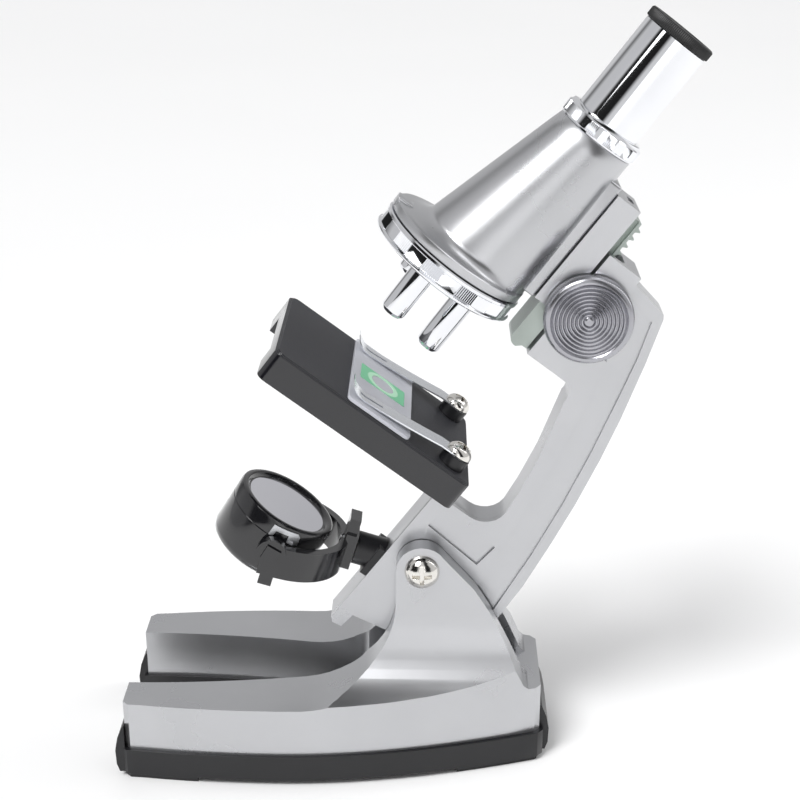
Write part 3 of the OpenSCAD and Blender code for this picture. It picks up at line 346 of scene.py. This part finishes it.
def collar_piece():
    low, high = span("tube_collar")
    r = (high.y - low.y) / 2
    bore = TUBE_R + 0.1
    profile = [(bore, low.z), (r - 0.5, low.z), (r - 0.4, low.z + 0.5), (r, low.z + 0.7),
               (r, high.z - 1.5), (r - 0.4, high.z - 1.2), (r - 0.7, high.z - 0.9),
               (r - 1, high.z - 0.2), (r - 1.5, high.z), (bore, high.z)]
    bm = lathe(profile, 288)
    knurl(bm, r - 0.05, low.z + 0.6, high.z - 1.4, 144, 0.35, 12)
    add_piece("tube_collar_knurl", bm, "tube_collar", 40, place=at(AXIS_U, 0),
              hides=["tube_collar"])


body_low, body_high = span("optical_body")
disc_low, disc_high = span("turret_disc")
TURRET_U = local(JOINTS["turret_turn"]["pos_m"]).x
TURRET_R = (disc_high.y - disc_low.y) / 2
FLANGE_R = TURRET_R - 1
FLANGE_TOP = disc_high.z + 3.7
RING_SIDES = 128
CONE_STEPS, FLARE_STEPS = 11, 9
CONE_FOOT_SHIFT, CONE_FOOT_R, CONE_FOOT_W = 6.8, 20.7, 104.2
NECK_HALF, NECK_LOW, NECK_HIGH = 8, 101.4, 147.4


def ring_edges(bm, u, r, w):
    made = bmesh.ops.create_circle(bm, cap_ends=False, segments=RING_SIDES, radius=r,
                                   matrix=Matrix.Translation((u, 0, w)))
    return list({edge for v in made["verts"] for edge in v.link_edges})


def body_piece():
    """The leaning cone, its tight flare on to the flange, and the flange's rounded rim."""
    top_r = (span("tube_collar")[1].y) - 0.6
    foot = (AXIS_U - CONE_FOOT_SHIFT, CONE_FOOT_R, CONE_FOOT_W)
    rings = [(AXIS_U, top_r - 0.4, body_high.z), (AXIS_U, top_r, body_high.z - 0.4)]
    for k in range(1, CONE_STEPS + 1):
        t = k / CONE_STEPS
        rings.append((AXIS_U + (foot[0] - AXIS_U) * t, top_r + (foot[1] - top_r) * t,
                      body_high.z + (foot[2] - body_high.z) * t))
    flare = (TURRET_U - foot[0], FLANGE_R - 0.5 - foot[1], FLANGE_TOP - foot[2])
    for k in range(1, FLARE_STEPS + 1):
        a = math.pi / 2 * k / FLARE_STEPS
        outward = 1 - math.cos(a)
        rings.append((foot[0] + flare[0] * outward, foot[1] + flare[1] * outward,
                      foot[2] + flare[2] * math.sin(a)))
    base = disc_high.z + 0.3
    rings += [(TURRET_U, FLANGE_R, FLANGE_TOP - 0.4), (TURRET_U, FLANGE_R, base + 0.4),
              (TURRET_U, FLANGE_R - 0.4, base)]
    bm = bmesh.new()
    loops = [ring_edges(bm, *ring) for ring in rings]
    for upper, lower in zip(loops, loops[1:]):
        bmesh.ops.bridge_loops(bm, edges=upper + lower)
    for loop in (loops[0], loops[-1]):
        bmesh.ops.edgeloop_fill(bm, edges=loop)
    add_piece("optical_body_cone", bm, "optical_body", 50, place=LEANING,
              hides=["optical_body"])


def block_between(name, node, low, high, bevel):
    """A rounded block between two corners of the leaning frame."""
    bm = bmesh.new()
    bmesh.ops.create_cube(bm, size=1)
    size = Vector(high) - Vector(low)
    bmesh.ops.scale(bm, vec=size, verts=bm.verts)
    bmesh.ops.translate(bm, vec=(Vector(high) + Vector(low)) / 2, verts=bm.verts)
    bmesh.ops.bevel(bm, geom=bm.edges[:], offset=bevel, segments=3, affect="EDGES",
                    profile=0.5, material=-1)
    add_piece(name, bm, node, place=LEANING)


tube_piece()
cap_piece()
collar_piece()
body_piece()
block_low, block_high = span("slide_block")
block_between("body_neck", "optical_body", (AXIS_U + 8, -NECK_HALF, NECK_LOW),
              (block_low.x - 0.1, NECK_HALF, NECK_HIGH), 0.8)
block_between("detent_lug", "optical_body", (TURRET_U - FLANGE_R - 0.3, -3.4, FLANGE_TOP - 3),
              (TURRET_U - FLANGE_R + 5.5, 3.4, FLANGE_TOP + 0.8), 0.5)


# ---- turret and objectives ----
def turret_piece():
    low, high = disc_low.z, disc_high.z
    r = TURRET_R
    profile = [(0, low), (r - 1.2, low), (r - 0.3, low + 0.3), (r, low + 0.7), (r, low + 1.2),
               (r - 0.5, low + 1.5), (r - 0.7, low + 1.8), (r - 0.7, high - 1.6),
               (r - 0.4, high - 1.3), (r - 0.4, high - 0.4), (r - 0.8, high), (r - 4, high),
               (r - 4, low + 3.4), (0, low + 3.4)]
    bm = lathe(profile, 432, closed=False)
    knurl(bm, r - 1.1, low + 1.6, high - 1.4, 216, 0.4, 12)
    add_piece("turret_knurl", bm, "turret_disc", 40, place=at(TURRET_U, 0, turn=0.12),
              hides=["turret_disc", "turret_screw"])


def objective_piece(node):
    low, high = span(node)
    u, v = (low.x + high.x) / 2, (low.y + high.y) / 2
    r = (high.y - low.y) / 2
    foot, top = low.z, disc_low.z
    profile = [(1.6, foot + 0.8), (2.2, foot), (r - 1.1, foot), (r - 0.9, foot + 0.1),
               (r - 0.15, foot + 1.1), (r, foot + 1.4), (r, top - 2.2), (r - 0.25, top - 2),
               (r - 0.25, top - 1.7), (r, top - 1.5), (r, top + 0.1), (1.6, top + 0.1)]
    add_piece(node + "_barrel", lathe(profile, 72), node, 34, place=at(u, 0, v), hides=[node])


turret_piece()
for node in ("long_objective", "medium_objective", "short_objective"):
    objective_piece(node)


# ---- focus knobs ----
def knob_piece(node, side):
    low, high = span(node)
    u, w = (low.x + high.x) / 2, (low.z + high.z) / 2
    r = (high.z - low.z) / 2
    thick = high.y - low.y
    face = [(r - 0.5, 0), (r, 0.5), (r, thick - 1.5), (r - 0.7, thick - 0.7),
            (r - 1.6, thick - 0.2), (r - 2.1, thick - 0.1)]
    ridges, inner, outer = 8, 1.9, r - 2.5
    step = (outer - inner) / ridges
    for k in range(ridges):
        start = outer - k * step
        face += [(start - 0.10 * step, thick - 0.75), (start - 0.32 * step, thick - 0.85),
                 (start - 0.55 * step, thick - 0.15), (start - 0.8 * step, thick - 0.05)]
    face += [(inner, thick - 0.7), (1.3, thick - 0.1), (0.8, thick), (0, thick)]
    bm = lathe([(0, 0)] + face, 240, closed=False)
    knurl(bm, r - 0.1, 0.3, thick - 1.2, 120, 0.35)
    outward = Matrix.Rotation(-side * math.pi / 2, 4, "X")
    start = low.y if side > 0 else high.y
    place = LEANING @ Matrix.Translation((u, start, w)) @ outward
    add_piece(node + "_ridged", bm, node, 38, place=place, hides=[node])


knob_piece("near_knob", -1)
knob_piece("far_knob", 1)


# ---- lamp drum ----
DRUM = (LEANING @ Matrix.Translation(local(JOINTS["drum_flip"]["pos_m"]))
        @ Matrix.Rotation(-DRUM_TIP, 4, "Y"))
lamp_low, lamp_high = span("lamp_housing", DRUM)
rim_low, rim_high = span("mirror_housing", DRUM)
glass_low, glass_high = span("mirror_glass", DRUM)
DRUM_X = (lamp_low.x + lamp_high.x) / 2
DRUM_R = (lamp_high.x - lamp_low.x) / 2


def drum_pieces():
    top, seam = rim_high.z, rim_low.z
    mirror_r = (glass_high.x - glass_low.x) / 2
    place = DRUM @ Matrix.Translation((DRUM_X, 0, 0))
    rim = [(DRUM_R - 0.15, seam), (DRUM_R, seam + 0.2), (DRUM_R, top - 1.2),
           (DRUM_R - 0.3, top - 0.4), (DRUM_R - 0.9, top - 0.05), (mirror_r + 1.3, top),
           (mirror_r + 0.9, top - 0.2), (mirror_r + 0.1, top - 1.3), (mirror_r - 0.4, top - 1.35),
           (mirror_r - 0.4, seam), (DRUM_R - 2.4, seam)]
    add_piece("mirror_rim", lathe(rim, 160), "mirror_housing", 34, place=place,
              hides=["mirror_housing"])
    foot = lamp_low.z
    shell = [(12.2, foot + 0.4), (12.6, foot), (DRUM_R - 4.2, foot), (DRUM_R - 2, foot + 0.5),
             (DRUM_R - 0.6, foot + 1.7), (DRUM_R, foot + 3.6), (DRUM_R, seam - 0.25),
             (DRUM_R - 0.25, seam - 0.05), (DRUM_R - 2.4, seam - 0.05),
             (DRUM_R - 2.4, foot + 3.4), (12.2, foot + 3.2)]
    add_piece("lamp_shell", lathe(shell, 160), "lamp_housing", 34, place=place,
              hides=["lamp_housing"])


drum_pieces()

# ---- floor, light and camera ----
def plain_floor():
    bm = bmesh.new()
    bmesh.ops.create_grid(bm, x_segments=1, y_segments=1, size=6)
    mesh = bpy.data.meshes.new("floor")
    bm.to_mesh(mesh)
    bm.free()
    floor = bpy.data.objects.new("floor", mesh)
    mesh.materials.append(finish_material("floor_white", (0.95, 0.95, 0.95), (0.97, 0.97, 0.97),
                                          0, (0.6, 0.7), 50, 0.0, 3))
    bpy.context.scene.collection.objects.link(floor)


def soft_light(name, place, aim, size, power):
    light = bpy.data.lights.new(name, "AREA")
    light.shape = "RECTANGLE"
    light.size, light.size_y = size
    light.energy = power
    lamp = bpy.data.objects.new(name, light)
    lamp.location = place
    lamp.rotation_euler = (Vector(aim) - Vector(place)).to_track_quat("-Z", "Y").to_euler()
    bpy.context.scene.collection.objects.link(lamp)


def soft_sun(toward, strength, spread):
    light = bpy.data.lights.new("daylight", "SUN")
    light.energy = strength
    light.angle = math.radians(spread)
    lamp = bpy.data.objects.new("daylight", light)
    lamp.rotation_euler = (-Vector(toward)).to_track_quat("-Z", "Y").to_euler()
    bpy.context.scene.collection.objects.link(lamp)


def studio_world():
    """White studio with soft darker bands to give bright metal its streaks."""
    world = bpy.data.worlds.new("studio")
    bpy.context.scene.world = world
    world.use_nodes = True
    tree = world.node_tree
    back = tree.nodes["Background"]
    coordinates = tree.nodes.new("ShaderNodeTexCoord")
    parts = tree.nodes.new("ShaderNodeSeparateXYZ")
    angle = tree.nodes.new("ShaderNodeMath")
    angle.operation = "ARCTAN2"
    bands = tree.nodes.new("ShaderNodeMapRange")
    bands.inputs["From Min"].default_value = -math.pi
    bands.inputs["From Max"].default_value = math.pi
    ramp = tree.nodes.new("ShaderNodeValToRGB")
    stops = ramp.color_ramp.elements
    stops[0].position, stops[0].color = 0.0, (0.9, 0.9, 0.92, 1)
    stops[1].position, stops[1].color = 1.0, (0.9, 0.9, 0.92, 1)
    for place, shade in ((0.05, 0.95), (0.075, 0.03), (0.175, 0.02), (0.20, 1.1), (0.28, 1.1),
                         (0.31, 0.03), (0.37, 0.03), (0.40, 1.0), (0.52, 1.1), (0.60, 0.9),
                         (0.64, 0.3), (0.70, 0.9), (0.84, 1.0), (0.88, 0.25), (0.93, 0.9)):
        stop = stops.new(place)
        stop.color = (shade, shade, shade * 1.01, 1)
    tree.links.new(coordinates.outputs["Generated"], parts.inputs[0])
    tree.links.new(parts.outputs["Y"], angle.inputs[0])
    tree.links.new(parts.outputs["X"], angle.inputs[1])
    tree.links.new(angle.outputs[0], bands.inputs["Value"])
    tree.links.new(bands.outputs["Result"], ramp.inputs["Fac"])
    tree.links.new(ramp.outputs["Color"], back.inputs["Color"])
    back.inputs["Strength"].default_value = 0.62


plain_floor()
studio_world()
soft_light("key", (-0.7, -0.9, 1.2), (0, 0, 0.12), (0.7, 0.7), 3.5)
soft_light("rim", (0.9, 0.2, 0.9), (0, 0, 0.15), (0.4, 0.9), 2.5)
soft_light("fill", (0.1, -1.3, 0.35), (0, 0, 0.1), (0.5, 0.9), 1.0)
soft_sun((-0.5, -0.55, 1.1), 2.0, 24)

camera = bpy.data.cameras.new("camera")
camera.lens = 70.34
camera.sensor_width = 36
viewer = bpy.data.objects.new("camera", camera)
AZIMUTH, ELEVATION, DISTANCE = math.radians(1.173), math.radians(21.942), 0.540
TARGET = Vector((-0.00803, 0, 0.1336))
back = Vector((math.sin(AZIMUTH) * math.cos(ELEVATION), -math.cos(AZIMUTH) * math.cos(ELEVATION),
               math.sin(ELEVATION)))
viewer.location = TARGET + back * DISTANCE
viewer.rotation_mode = "QUATERNION"
viewer.rotation_quaternion = (-back).to_track_quat("-Z", "Y")
bpy.context.scene.collection.objects.link(viewer)
bpy.context.scene.camera = viewer
bpy.context.scene.view_settings.view_transform = "Standard"
